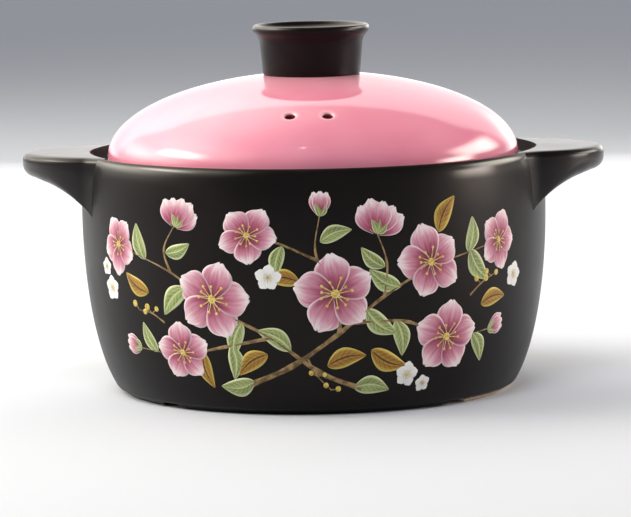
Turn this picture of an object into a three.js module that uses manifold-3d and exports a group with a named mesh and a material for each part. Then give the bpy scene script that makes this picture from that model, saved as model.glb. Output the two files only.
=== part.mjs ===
// A clay cooking pot with a domed lid, in millimetres, with +Z up.
// The origin is on the table under the middle of the pot. The handles lie along X and the front faces -Y.
import * as THREE from "three";
import { mergeVertices } from "three/addons/utils/BufferGeometryUtils.js";
import Module from "manifold-3d";

const wasm = await Module();
wasm.setup();

// Pot body: the bowl, its raised lip and the ledge inside the lip
const rimRadius = 115;
const rimHeight = 119;
const lipThickness = 4.4;
const lipRound = 1;
const shoulderDrop = 6;
const galleryDepth = 10;
const coveWidth = 6.4;
const ledgeWidth = 7;
const ledgeRound = 1.6;
const wallThickness = 11;
const floorThickness = 9;
const bellyTop = 90;
const bellyEase = 42;
const baseRadius = 98.8;
const cornerReach = 9.2;
const cornerRise = 13.6;
const floorCornerRise = 9;
const floorCornerReach = 16;
const ledgeUndercut = 12;

// Foot: a ring in four arcs, with a notch between each two
const footHeight = 2.4;
const footWidth = 12;
const footTaper = 4;
const notchWidthAtTable = 16;
const notchWidthAtBase = 9;
const notchAngle = 45;

// Ear handles
const handleReach = 29.1;
const handleRootHeight = 29;
const handleTipThickness = 11.7;
const handleNose = 7;
const handleArch = 4;
const handleArchReach = 2;
const handleRootWidth = 78;
const handleShoulderWidth = 72;
const handleShoulderReach = 7;
const handleTipWidth = 48;
const handleRootDepth = 7;

// Lid
const lidClearance = 2.4;
const lidSkirt = 7.2;
const lidThickness = 6.5;
const lidEdgeChamfer = 1.2;
const domeRise = 40.3;
const steamHoleDiameter = 4.6;
const steamHoleSpacing = 18;
const steamHoleRing = 79.8;

// Lid knob
const knobBaseRadius = 24.1;
const knobWaistRadius = 25.4;
const knobFlareRadius = 28.8;
const knobHeight = 24.5;
const knobFlareHeight = 4.8;
const knobLipRadius = 1.3;
const knobDishDepth = 5;

// Gap between pieces that touch, and how far a cutting shape runs past what it cuts
const jointGap = 0.3;
const cutMargin = 1;

// How finely round shapes are divided
const potSegments = 56;
const knobSegments = 40;
const holeSegments = 16;
const wallSteps = 8;
const lipSteps = 4;
const coveSteps = 3;
const roundSteps = 2;
const domeSteps = 10;
const handleSteps = 8;
const knobSteps = 5;
const weldDistance = 1e-3;

const point = (x, y) => new THREE.Vector2(x, y);

// Places that several pieces share
const lipInnerRadius = rimRadius - lipThickness;
const crestRadius = lipInnerRadius + lipRound;
const ledgeOuterRadius = lipInnerRadius - coveWidth;
const ledgeInnerRadius = ledgeOuterRadius - ledgeWidth;
const ledgeHeight = rimHeight - galleryDepth;
const floorHeight = footHeight + floorThickness;
const lidRadius = ledgeOuterRadius - lidClearance;
const lidBottom = ledgeHeight + jointGap;
const domeSpring = lidBottom + lidSkirt;

// Height of the lid's outer surface at a distance from its axis.
function domeHeight(radius) {
  return domeSpring + domeRise * Math.sqrt(1 - (radius / lidRadius) ** 2);
}

// Solid of revolution about Z from a profile of (radius, height) points.
function turned(profile, segments) {
  return new THREE.LatheGeometry(profile, segments).rotateX(Math.PI / 2);
}

// Prism of a (length, height) outline in the XZ plane, centred on Y.
function slab(outline, width) {
  const options = { depth: width, bevelEnabled: false, curveSegments: handleSteps };
  const geometry = new THREE.ExtrudeGeometry(outline, options);
  return geometry.rotateX(Math.PI / 2).translate(0, width / 2, 0);
}

// Closed mesh to boolean solid, and back.
function solidOf(geometry) {
  const bare = geometry.clone();
  bare.deleteAttribute("normal");
  bare.deleteAttribute("uv");
  const merged = mergeVertices(bare, weldDistance);
  const vertProperties = new Float32Array(merged.attributes.position.array);
  const triVerts = new Uint32Array(merged.index.array);
  return new wasm.Manifold(new wasm.Mesh({ numProp: 3, vertProperties, triVerts }));
}

function geometryOf(solid) {
  const mesh = solid.getMesh();
  const geometry = new THREE.BufferGeometry();
  geometry.setAttribute("position", new THREE.BufferAttribute(mesh.vertProperties, 3));
  geometry.setIndex(new THREE.BufferAttribute(mesh.triVerts, 1));
  geometry.computeVertexNormals();
  return geometry;
}

// Outside of the bowl's belly, from the edge of its underside to where the wall becomes upright.
const belly = new THREE.CubicBezierCurve(
  point(baseRadius, footHeight),
  point(baseRadius + cornerReach, footHeight + cornerRise),
  point(rimRadius, bellyTop - bellyEase),
  point(rimRadius, bellyTop),
);

// Inside of the belly, one wall thickness in from the outside, from under the ledge down to the floor's corner.
function innerBelly() {
  const highest = ledgeHeight - ledgeUndercut;
  const lowest = floorHeight + floorCornerRise;
  const points = [];
  for (let step = wallSteps; step >= 0; step -= 1) {
    const along = step / wallSteps;
    const tangent = belly.getTangent(along);
    const inward = point(-tangent.y, tangent.x).multiplyScalar(wallThickness);
    const inner = belly.getPoint(along).add(inward);
    if (inner.y > lowest && inner.y < highest) points.push(inner);
  }
  return points;
}

// The lip's outer shoulder, from the upright wall up to its crest.
const shoulder = new THREE.EllipseCurve(
  crestRadius,
  rimHeight - shoulderDrop,
  rimRadius - crestRadius,
  shoulderDrop,
  0,
  Math.PI / 2,
);

function potBody() {
  const lipMiddle = rimHeight - lipRound;
  const lipInside = new THREE.ArcCurve(crestRadius, lipMiddle, lipRound, Math.PI / 2, Math.PI);
  const cove = new THREE.QuadraticBezierCurve(
    point(lipInnerRadius, lipMiddle),
    point(lipInnerRadius, ledgeHeight),
    point(ledgeOuterRadius, ledgeHeight),
  );
  const ledgeEdge = new THREE.QuadraticBezierCurve(
    point(ledgeInnerRadius + ledgeRound, ledgeHeight),
    point(ledgeInnerRadius, ledgeHeight),
    point(ledgeInnerRadius, ledgeHeight - ledgeRound),
  );
  const inside = innerBelly();
  const lowest = inside[inside.length - 1];
  const floorCorner = new THREE.QuadraticBezierCurve(
    lowest,
    point(lowest.x - floorCornerReach / 3, floorHeight),
    point(lowest.x - floorCornerReach, floorHeight),
  );
  const profile = [
    point(0, footHeight),
    ...belly.getPoints(wallSteps),
    ...shoulder.getPoints(lipSteps),
    ...lipInside.getPoints(roundSteps).slice(1),
    ...cove.getPoints(coveSteps).slice(1),
    ...ledgeEdge.getPoints(roundSteps),
    ...inside,
    ...floorCorner.getPoints(roundSteps).slice(1),
    point(0, floorHeight),
  ];
  return turned(profile, potSegments);
}

// The four arcs of the foot, by name: one ring, cut by a notch in each of four directions.
function feet() {
  const top = footHeight - jointGap;
  const outerTop = baseRadius - jointGap;
  const outerBottom = outerTop - footTaper;
  const inner = outerTop - footWidth;
  const section = [
    point(inner, 0),
    point(outerBottom, 0),
    point(outerTop, top),
    point(inner, top),
    point(inner, 0),
  ];
  let ring = solidOf(turned(section, potSegments));
  const spread = ((notchWidthAtTable - notchWidthAtBase) / 2 / footHeight) * cutMargin;
  const above = notchWidthAtBase / 2 - spread;
  const below = notchWidthAtTable / 2 + spread;
  const notchOutline = new THREE.Shape([
    point(-below, -cutMargin),
    point(below, -cutMargin),
    point(above, footHeight + cutMargin),
    point(-above, footHeight + cutMargin),
  ]);
  const notchLength = (footWidth + cutMargin) * 2;
  for (const angle of [notchAngle, 180 - notchAngle, 180 + notchAngle, -notchAngle]) {
    const notch = slab(notchOutline, notchLength);
    notch.translate(0, outerTop, 0).rotateZ(THREE.MathUtils.degToRad(angle - 90));
    ring = ring.subtract(solidOf(notch));
  }
  const sideSpan = notchAngle;
  const frontSpan = 90 - notchAngle;
  return {
    foot_right: footArc(ring, 0, sideSpan),
    foot_back: footArc(ring, 90, frontSpan),
    foot_left: footArc(ring, 180, sideSpan),
    foot_front: footArc(ring, 270, frontSpan),
  };
}

// The part of the ring within halfSpan degrees of a direction, counted in degrees from +X.
function footArc(ring, direction, halfSpan) {
  const reach = (baseRadius + cutMargin) / Math.cos(THREE.MathUtils.degToRad(halfSpan));
  const corner = (degrees) => {
    const angle = THREE.MathUtils.degToRad(degrees);
    return point(reach * Math.cos(angle), reach * Math.sin(angle));
  };
  const sector = new THREE.Shape([point(0, 0), corner(direction - halfSpan), corner(direction + halfSpan)]);
  const depth = footHeight + cutMargin * 2;
  const wedge = new THREE.ExtrudeGeometry(sector, { depth, bevelEnabled: false });
  return geometryOf(ring.intersect(solidOf(wedge.translate(0, 0, -cutMargin))));
}

// The ear handle on the +X side: its side view and its plan, crossed, with the bowl's wall cut away.
function earHandle() {
  const tip = rimRadius + handleReach;
  const rootInner = rimRadius - handleRootDepth;
  const earShoulder = rimRadius + handleShoulderReach;
  const tipBottom = rimHeight - handleTipThickness;
  const rootBottom = rimHeight - handleRootHeight;
  const side = new THREE.Shape();
  side.moveTo(0, rimHeight);
  side.lineTo(tip - handleNose, rimHeight);
  side.quadraticCurveTo(tip, rimHeight, tip, (rimHeight + tipBottom) / 2);
  side.quadraticCurveTo(tip, tipBottom, tip - handleNose, tipBottom);
  side.quadraticCurveTo(rimRadius + handleArchReach, tipBottom - handleArch, rootInner, rootBottom);
  side.lineTo(0, rootBottom);
  side.closePath();

  const halfRoot = handleRootWidth / 2;
  const halfShoulder = handleShoulderWidth / 2;
  const halfTip = handleTipWidth / 2;
  const plan = new THREE.Shape();
  plan.moveTo(0, -halfRoot);
  plan.lineTo(rootInner, -halfRoot);
  plan.bezierCurveTo(earShoulder, -halfShoulder, tip, -halfTip, tip, 0);
  plan.bezierCurveTo(tip, halfTip, earShoulder, halfShoulder, rootInner, halfRoot);
  plan.lineTo(0, halfRoot);
  plan.closePath();

  const above = rimHeight + cutMargin;
  const planSolid = new THREE.ExtrudeGeometry(plan, {
    depth: above,
    bevelEnabled: false,
    curveSegments: handleSteps,
  });
  const outside = [...belly.getPoints(wallSteps), ...shoulder.getPoints(lipSteps).slice(0, lipSteps)];
  const wall = outside.map((outer) => point(outer.x + jointGap, outer.y));
  const highest = wall[wall.length - 1];
  const bowl = turned(
    [point(0, footHeight), ...wall, point(highest.x, above), point(0, above)],
    potSegments,
  );
  const ear = solidOf(slab(side, handleRootWidth + cutMargin)).intersect(solidOf(planSolid));
  return geometryOf(ear.subtract(solidOf(bowl)));
}

function lidDome() {
  const outer = new THREE.EllipseCurve(0, domeSpring, lidRadius, domeRise, 0, Math.PI / 2);
  const innerRadius = lidRadius - lidThickness;
  const inner = new THREE.EllipseCurve(0, domeSpring, innerRadius, domeRise - lidThickness, 0, Math.PI / 2);
  const profile = [
    ...inner.getPoints(domeSteps).reverse(),
    point(innerRadius, lidBottom),
    point(lidRadius - lidEdgeChamfer, lidBottom),
    point(lidRadius, lidBottom + lidEdgeChamfer),
    ...outer.getPoints(domeSteps),
  ];
  profile[0].x = 0;
  profile[profile.length - 1].x = 0;
  let dome = solidOf(turned(profile, potSegments));
  for (const side of [-1, 1]) {
    dome = dome.subtract(solidOf(steamHole((side * steamHoleSpacing) / 2)));
  }
  return geometryOf(dome);
}

// A drill for one steam hole, square to the lid's surface on its front.
function steamHole(sideways) {
  const forward = Math.sqrt(steamHoleRing ** 2 - sideways ** 2);
  const height = domeHeight(steamHoleRing);
  const outward = new THREE.Vector3(
    sideways / lidRadius ** 2,
    -forward / lidRadius ** 2,
    (height - domeSpring) / domeRise ** 2,
  ).normalize();
  const holeRadius = steamHoleDiameter / 2;
  const drill = new THREE.CylinderGeometry(holeRadius, holeRadius, lidThickness * 4, holeSegments);
  const turn = new THREE.Quaternion().setFromUnitVectors(new THREE.Vector3(0, 1, 0), outward);
  return drill.applyQuaternion(turn).translate(sideways, -forward, height);
}

function lidKnob() {
  const base = domeHeight(knobBaseRadius) + jointGap;
  const top = base + knobHeight;
  const underside = [];
  for (let step = 0; step <= knobSteps; step += 1) {
    const radius = (knobBaseRadius * step) / knobSteps;
    underside.push(point(radius, domeHeight(radius) + jointGap));
  }
  const flare = new THREE.CubicBezierCurve(
    point(knobWaistRadius, top - knobFlareHeight * 2),
    point(knobWaistRadius + knobLipRadius / 2, top - knobFlareHeight),
    point(knobFlareRadius - knobLipRadius / 2, top - knobFlareHeight),
    point(knobFlareRadius, top - knobLipRadius * 2),
  );
  const lip = new THREE.QuadraticBezierCurve(
    point(knobFlareRadius, top - knobLipRadius * 2),
    point(knobFlareRadius, top),
    point(knobFlareRadius - knobLipRadius, top),
  );
  const dishRadius = knobFlareRadius - knobLipRadius * 2;
  const dish = new THREE.QuadraticBezierCurve(
    point(dishRadius, top),
    point(dishRadius - knobDishDepth, top - knobDishDepth),
    point(0, top - knobDishDepth),
  );
  const profile = [
    ...underside,
    ...flare.getPoints(knobSteps),
    ...lip.getPoints(roundSteps).slice(1),
    ...dish.getPoints(knobSteps),
  ];
  return turned(profile, knobSegments);
}

const pot = new THREE.Group();

// Adds one named piece with its own finish.
function addPiece(name, geometry, color, roughness) {
  const material = new THREE.MeshStandardMaterial({ color, roughness, metalness: 0 });
  const piece = new THREE.Mesh(geometry, material);
  piece.name = name;
  pot.add(piece);
  return piece;
}

const blackGlaze = 0x1d1a1b;
const pinkGlaze = 0xe48a9f;
const brownBlackGlaze = 0x241c1d;
const satin = 0.42;
const glossy = 0.14;

addPiece("pot_body", potBody(), blackGlaze, satin);
for (const [name, geometry] of Object.entries(feet())) {
  addPiece(name, geometry, blackGlaze, satin);
}
addPiece("handle_right", earHandle(), blackGlaze, satin);
addPiece("handle_left", earHandle(), blackGlaze, satin).rotation.z = Math.PI;
addPiece("lid_dome", lidDome(), pinkGlaze, glossy);
addPiece("lid_knob", lidKnob(), brownBlackGlaze, satin);

export default pot;
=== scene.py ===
import bmesh
import bpy
import random
from bisect import bisect
from math import cos, dist, pi, radians, sin, sqrt
from mathutils import Matrix, Vector


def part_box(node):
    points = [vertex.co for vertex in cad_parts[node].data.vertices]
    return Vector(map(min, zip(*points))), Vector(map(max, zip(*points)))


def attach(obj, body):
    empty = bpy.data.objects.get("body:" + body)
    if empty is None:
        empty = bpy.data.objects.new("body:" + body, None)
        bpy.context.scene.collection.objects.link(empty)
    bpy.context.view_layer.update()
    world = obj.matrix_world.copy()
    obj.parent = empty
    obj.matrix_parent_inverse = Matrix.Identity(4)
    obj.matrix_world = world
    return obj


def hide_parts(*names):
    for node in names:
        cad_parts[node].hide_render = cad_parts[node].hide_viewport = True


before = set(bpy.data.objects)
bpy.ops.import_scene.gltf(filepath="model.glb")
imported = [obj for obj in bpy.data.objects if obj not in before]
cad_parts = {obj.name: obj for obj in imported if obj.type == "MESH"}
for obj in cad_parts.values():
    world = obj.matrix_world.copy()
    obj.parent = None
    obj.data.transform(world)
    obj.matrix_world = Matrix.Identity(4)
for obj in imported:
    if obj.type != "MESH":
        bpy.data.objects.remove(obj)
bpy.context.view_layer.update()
mm = 0.001
fullTurn = 2 * pi


# Everyday moves

def clearSelection():
    if bpy.context.mode != "OBJECT":
        bpy.ops.object.mode_set(mode="OBJECT")
    bpy.ops.object.select_all(action="DESELECT")


def nameIt(name):
    piece = bpy.context.object
    piece.name = piece.data.name = name
    return piece


def makeActive(piece):
    clearSelection()
    piece.select_set(True)
    bpy.context.view_layer.objects.active = piece


def editAll(piece):
    makeActive(piece)
    bpy.ops.object.mode_set(mode="EDIT")
    bpy.ops.mesh.select_all(action="SELECT")


def closeUp(piece, weld=0.002 * mm, sharp=40):
    editAll(piece)
    bpy.ops.mesh.remove_doubles(threshold=weld)
    bpy.ops.mesh.normals_make_consistent(inside=False)
    bpy.ops.object.mode_set(mode="OBJECT")
    bpy.ops.object.shade_smooth_by_angle(angle=radians(sharp))
    return piece


def joinAll(name, pieces):
    clearSelection()
    for piece in pieces:
        piece.select_set(True)
    bpy.context.view_layer.objects.active = pieces[0]
    bpy.ops.object.join()
    return nameIt(name)


def bezier(points, steps):
    line = []
    for step in range(steps + 1):
        row = [Vector(p) for p in points]
        while len(row) > 1:
            row = [a.lerp(b, step / steps) for a, b in zip(row, row[1:])]
        line.append(tuple(row[0]))
    return line


def arc(middle, radius, start, end, steps):
    angles = [radians(start + (end - start) * step / steps) for step in range(steps + 1)]
    return [(middle[0] + radius * cos(a), middle[1] + radius * sin(a)) for a in angles]


# A grid whose points go where place(u, v) says, u across and v along, both from 0 to 1
def shapedGrid(name, columns, rows, place):
    clearSelection()
    bpy.ops.mesh.primitive_grid_add(x_subdivisions=columns, y_subdivisions=rows, size=2)
    piece = nameIt(name)
    for vertex in piece.data.vertices:
        u = round((vertex.co.x + 1) / 2 * columns) / columns
        v = round((vertex.co.y + 1) / 2 * rows) / rows
        vertex.co = place(u, v)
    return piece


# One vertex, extruded along a (radius, height) outline in mm and spun round the pot's axis
def turnPiece(name, outline, turns, shortest=0.01):
    tidy = [p for k, p in enumerate(outline) if k == 0 or dist(p, outline[k - 1]) > shortest]
    clearSelection()
    bpy.ops.mesh.primitive_plane_add(size=mm)
    piece = nameIt(name)
    bpy.ops.object.mode_set(mode="EDIT")
    bpy.ops.mesh.merge(type="CENTER")
    bpy.ops.transform.translate(value=(tidy[0][0] * mm, 0, tidy[0][1] * mm))
    for here, there in zip(tidy, tidy[1:]):
        step = ((there[0] - here[0]) * mm, 0, (there[1] - here[1]) * mm)
        bpy.ops.mesh.extrude_region_move(TRANSFORM_OT_translate={"value": step})
    bpy.ops.mesh.select_all(action="SELECT")
    bpy.ops.mesh.spin(steps=turns, angle=fullTurn, center=(0, 0, 0), axis=(0, 0, 1))
    return closeUp(piece)


# Pot body

potLow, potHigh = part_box("pot_body")
rimRadius, rimHeight, baseHeight = potHigh.x / mm, potHigh.z / mm, potLow.z / mm
bowl = {
    "baseRadius": 98.8,
    "baseRound": 1.4,
    "cornerReach": 9.2,
    "cornerRise": 13.6,
    "bellyTop": 90,
    "bellyEase": 42,
    "lip": 4.4,
    "lipRound": 0.6,
    "shoulderReach": 3.8,
    "shoulderCurves": [  # inward and downward from the rim's outer top
        [(0, 24), (0, 17), (0.62, 9.5), (1.35, 4.94)],
        [(1.35, 4.94), (1.86, 1.75), (2.9, 0.6)],
        [(2.9, 0.6), (3.44, 0), (3.8, 0)],
    ],
    "galleryDepth": 10,
    "cove": 6.4,
    "ledge": 7,
    "ledgeRound": 1.6,
    "ledgeUndercut": 12,
    "ledgeDrop": 6,
    "wall": 11,
    "floor": 9,
    "floorRise": 9,
    "floorReach": 16,
    "bellySteps": 96,
    "shoulderSteps": 12,
    "turns": 240,
}
bellyCurve = [
    (bowl["baseRadius"], baseHeight),
    (bowl["baseRadius"] + bowl["cornerReach"], baseHeight + bowl["cornerRise"]),
    (rimRadius, bowl["bellyTop"] - bowl["bellyEase"]),
    (rimRadius, bowl["bellyTop"]),
]
bellyLine = bezier(bellyCurve, bowl["bellySteps"])
shoulderLine = [(rimRadius - inward, rimHeight - down)
                for curve in bowl["shoulderCurves"] for inward, down in bezier(curve, bowl["shoulderSteps"])]
wallLine = bellyLine + shoulderLine[:bowl["shoulderSteps"] + 1]  # up to where the lip turns in
wallHeights = [point[1] for point in wallLine]


# Radius and outward direction of the pot's outside at a height, all in mm
def wallAt(height):
    k = min(max(bisect(wallHeights, height), 1), len(wallLine) - 1)
    low, high = wallLine[k - 1], wallLine[k]
    share = (height - low[1]) / (high[1] - low[1])
    along = Vector((high[0] - low[0], high[1] - low[1])).normalized()
    return low[0] + share * (high[0] - low[0]), (along.y, -along.x)


def bowlOutline():
    b = bowl
    ledgeHeight = rimHeight - b["galleryDepth"]
    lipInside = rimRadius - b["lip"]
    lipMiddle = (lipInside + b["lipRound"], rimHeight - b["lipRound"])
    ledgeOuter = lipInside - b["cove"]
    ledgeInner = ledgeOuter - b["ledge"]
    floorHeight = baseHeight + b["floor"]
    inside = []
    for low, high in zip(bellyLine, bellyLine[1:]):
        across = Vector((high[1] - low[1], low[0] - high[0])).normalized() * b["wall"]
        point = (high[0] - across.x, high[1] - across.y)
        if floorHeight + b["floorRise"] < point[1] < ledgeHeight - b["ledgeUndercut"]:
            inside.append(point)
    inside = inside[::-2]
    lowest = inside[-1]
    base = (b["baseRadius"], baseHeight)
    return (
        bezier([(0, baseHeight), (base[0] - b["baseRound"], base[1])], 6)
        + bezier([(base[0] - b["baseRound"], base[1]), base, bellyLine[3]], 5)
        + bellyLine[4::2]
        + shoulderLine
        + arc(lipMiddle, b["lipRound"], 90, 180, 6)
        + bezier([(lipInside, lipMiddle[1]), (lipInside, ledgeHeight), (ledgeOuter, ledgeHeight)], 12)
        + bezier([(ledgeOuter, ledgeHeight), (ledgeInner + b["ledgeRound"], ledgeHeight)], 3)
        + arc((ledgeInner + b["ledgeRound"], ledgeHeight - b["ledgeRound"]), b["ledgeRound"], 90, 180, 6)
        + bezier([(ledgeInner, ledgeHeight - b["ledgeRound"]), (ledgeInner, ledgeHeight - b["ledgeDrop"]),
                  (inside[0][0], ledgeHeight - b["ledgeDrop"]), inside[0]], 10)
        + inside
        + bezier([lowest, (lowest[0] - b["floorReach"] / 3, floorHeight),
                  (lowest[0] - b["floorReach"], floorHeight)], 10)
        + bezier([(lowest[0] - b["floorReach"], floorHeight), (0, floorHeight)], 8)
    )


potBody = turnPiece("potBody", bowlOutline(), bowl["turns"])
print("pot body turned:", len(potBody.data.polygons), "faces")


# Foot: one turned ring for each arc, cut off at the notches on both sides

foot = {
    "sink": 0.3,  # into the pot's base, and in from its edge
    "taper": 4,
    "width": 12,
    "edgeRound": 0.5,
    "edgeLean": 0.7,
    "notchAtTable": 16,
    "notchAtBase": 9,
    "notchAngle": 45,
    "turns": 240,
}
foot["top"] = baseHeight + foot["sink"]
foot["outerTop"] = bowl["baseRadius"] - foot["sink"]
foot["outerBottom"] = foot["outerTop"] - foot["taper"]
foot["inner"] = foot["outerTop"] - foot["width"]


def footArc(name, middleAngle, halfSpan):
    f = foot
    outline = [(f["inner"], f["top"]), (f["inner"], f["edgeRound"]), (f["inner"] + f["edgeRound"], 0),
               (f["outerBottom"] - f["edgeRound"], 0)]
    outerEdge = (f["outerBottom"] + f["edgeLean"], f["edgeRound"])
    outline += bezier([outline[-1], (f["outerBottom"], 0), outerEdge], 4)
    outline += [(f["outerTop"], f["top"]), (f["inner"], f["top"])]
    ring = turnPiece(name, outline, f["turns"])
    slope = (f["notchAtTable"] - f["notchAtBase"]) / 2 / baseHeight
    editAll(ring)
    for side in (-1, 1):
        angle = radians(middleAngle + side * halfSpan)
        outward = Vector((cos(angle), sin(angle), 0))
        across = Vector((-outward.y, outward.x, 0)) * side
        start = outward * bowl["baseRadius"] - across * f["notchAtTable"] / 2
        bpy.ops.mesh.select_all(action="SELECT")
        bpy.ops.mesh.bisect(plane_co=start * mm, plane_no=across - Vector((0, 0, slope)), use_fill=True,
                            clear_outer=True)
    return closeUp(ring, sharp=50)


sideSpan = foot["notchAngle"]
frontSpan = 90 - foot["notchAngle"]
feet = {
    "foot_right": footArc("footRight", 0, sideSpan),
    "foot_back": footArc("footBack", 90, frontSpan),
    "foot_left": footArc("footLeft", 180, sideSpan),
    "foot_front": footArc("footFront", 270, frontSpan),
}
print("foot arcs cut:", [len(arcPiece.data.polygons) for arcPiece in feet.values()])


# Ear handles: a sheet wrapped over the ear, from its top round the edge to its underside

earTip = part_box("handle_right")[1].x / mm
handle = {
    "rootRadius": rimRadius - bowl["shoulderReach"],
    "rootHalfWidth": 45.5,
    "rootCorner": (108.6, 39.2),
    "rootEnd": (112.2, 38.2),
    "shoulder": (123.0, 35.2),
    "tipHalfWidth": 24,
    "tipThickness": 11.7,
    "nose": 7,
    "archHeight": 103.3,
    "archPlace": 117,
    "rootHeight": 29,
    "rootDepth": 7,
    "topRound": 3.2,
    "bottomRound": 6.2,
    "rootShare": 0.2,
    "rootFade": 8,
    "roundFull": 131,
    "spineEnd": 20,
    "spineRun": 0.35,
    "columns": 120,
}
handle["bottom"] = rimHeight - handle["tipThickness"]
archLine = bezier([(rimRadius - handle["rootDepth"], rimHeight - handle["rootHeight"]),
                   (handle["archPlace"], handle["archHeight"]),
                   (earTip - handle["nose"], handle["bottom"])], 60)


# Where the underside lies at a distance from the pot's axis
def undersideAt(x):
    for low, high in zip(archLine, archLine[1:]):
        if low[0] <= x <= high[0]:
            return low[1] + (high[1] - low[1]) * (x - low[0]) / (high[0] - low[0])
    return archLine[0][1] if x < archLine[0][0] else handle["bottom"]


# The underside's round grows from the root to the tip
def lowRound(x):
    share = min(1, max(0, (x - rimRadius) / (handle["roundFull"] - rimRadius)))
    return handle["bottomRound"] * (handle["rootShare"] + (1 - handle["rootShare"]) * share)


# The sheet's rows: their side, how far in and down in parts of the edge's round, and how near the edge
def handleRows():
    rows = [("top", 1, 0, share) for share in (0, 0.3, 0.6, 0.85)]
    for step in range(9):
        turn = pi / 2 * step / 8
        rows.append(("top", 1 - sin(turn), 1 - cos(turn), 1))
    rows += [("wall", 0, part, 1) for part in (0.33, 0.67)]
    for step in range(13):
        turn = pi / 2 * step / 12
        rows.append(("under", 1 - cos(turn), 1 - sin(turn), 1))
    return rows + [("under", 1, 0, share) for share in (0.8, 0.55, 0.28, 0)]


def earHandle(name):
    h = handle
    root = (sqrt(h["rootRadius"] ** 2 - h["rootHalfWidth"] ** 2), h["rootHalfWidth"])
    half = bezier([root, h["rootCorner"], h["rootEnd"]], h["columns"] // 10)
    half += bezier([h["rootEnd"], h["shoulder"], (earTip, h["tipHalfWidth"]), (earTip, 0)],
                   h["columns"] // 2 - h["columns"] // 10)[1:]
    outline = [Vector(p) for p in half] + [Vector((x, -y)) for x, y in half[-2::-1]]
    rows = handleRows()

    def place(u, v):
        k = round(u * h["columns"])
        side, inset, drop, share = rows[round(v * (len(rows) - 1))]
        along = outline[min(k + 1, h["columns"])] - outline[max(k - 1, 0)]
        size = lowRound(outline[k].x) if side == "under" else h["topRound"]
        edge = outline[k] - Vector((-along.y, along.x)).normalized() * inset * size
        run = min(1, min(u, 1 - u) / h["spineRun"])
        spine = Vector((h["rootRadius"] + (earTip - h["spineEnd"] - h["rootRadius"]) * run, 0))
        spot = spine.lerp(edge, share)
        nearRoot = max(0, 1 - min(u, 1 - u) * h["rootFade"]) ** 2  # the root follows the lip's round
        chord = h["rootRadius"] - (h["rootRadius"] - root[0]) * abs(spot.y) / root[1]
        bulge = sqrt(h["rootRadius"] ** 2 - spot.y ** 2) - chord
        spot.x += max(0, bulge) * nearRoot
        high = rimHeight - h["topRound"]
        deep = undersideAt(edge.x) + lowRound(outline[k].x)
        if side == "top":
            z = rimHeight - drop * size
        elif side == "wall":
            z = high + (deep - high) * drop
        else:
            z = undersideAt(spot.x) + drop * size
        return Vector((spot.x, spot.y, z)) * mm

    piece = shapedGrid(name, h["columns"], len(rows) - 1, place)
    closeUp(piece)
    editAll(piece)
    bpy.ops.mesh.select_mode(type="EDGE")
    bpy.ops.mesh.select_all(action="DESELECT")
    bpy.ops.mesh.select_non_manifold()  # only the root end is open
    bpy.ops.mesh.edge_face_add()
    bpy.ops.mesh.select_mode(type="VERT")
    return closeUp(piece, sharp=50)


handleRight = earHandle("handleRight")
makeActive(handleRight)
bpy.ops.object.duplicate()
handleLeft = nameIt("handleLeft")
editAll(handleLeft)
bpy.ops.transform.rotate(value=pi, orient_axis="Z", center_override=(0, 0, 0))
bpy.ops.object.mode_set(mode="OBJECT")
print("handles shaped:", len(handleRight.data.polygons), "faces each")


# Lid

lidLow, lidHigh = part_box("lid_dome")
lidRadius, lidBottom = lidHigh.x / mm, lidLow.z / mm
lid = {
    "skirt": 7.2,
    "thickness": 6.5,
    "edgeRound": 1.3,
    "holeRadius": 2.3,
    "holeFlare": 1.5,
    "holeSpacing": 18,
    "holeRing": 79.8,
    "mouthEnd": 97,  # where the flare of a hole runs out, in degrees
    "drillSlack": 1.2,
    "drillLength": 4,
    "drillSpare": 0.6,
    "drillEdge": 0.3,
    "fineReach": 9,  # smaller faces round the holes
    "fineCuts": 2,
    "fineFrom": 4,  # above the foot of the dome
    "skin": 0.3,  # what is this near to the dome counts as its outside
    "turns": 256,
}
domeFoot = lidBottom + lid["skirt"]
domeRise = lidHigh.z / mm - domeFoot


def domeAt(radius):
    return domeFoot + domeRise * sqrt(max(0, 1 - (radius / lidRadius) ** 2))


def ellipse(radius, rise, steps):
    return [(radius * sin(a), domeFoot + rise * cos(a))
            for a in (pi / 2 * k / steps for k in range(steps + 1))]


def lidOutline():
    r, edge = lidRadius, lid["edgeRound"]
    innerRadius = r - lid["thickness"]
    outer = ellipse(r, domeRise, 72)
    inner = ellipse(innerRadius, domeRise - lid["thickness"], 36)[::-1]
    return (
        outer
        + [(r, lidBottom + edge)]
        + arc((r - edge, lidBottom + edge), edge, 0, -90, 6)
        + bezier([(r - edge, lidBottom), (innerRadius + edge, lidBottom)], 2)
        + arc((innerRadius + edge, lidBottom + edge), edge, -90, -180, 6)
        + inner
    )


def holePlace(side):
    sideways = side * lid["holeSpacing"] / 2
    forward = sqrt(lid["holeRing"] ** 2 - sideways ** 2)
    place = Vector((sideways, -forward, domeAt(lid["holeRing"])))
    square = Vector((place.x / lidRadius ** 2, place.y / lidRadius ** 2,
                     (place.z - domeFoot) / domeRise ** 2)).normalized()
    return place, square


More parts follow.
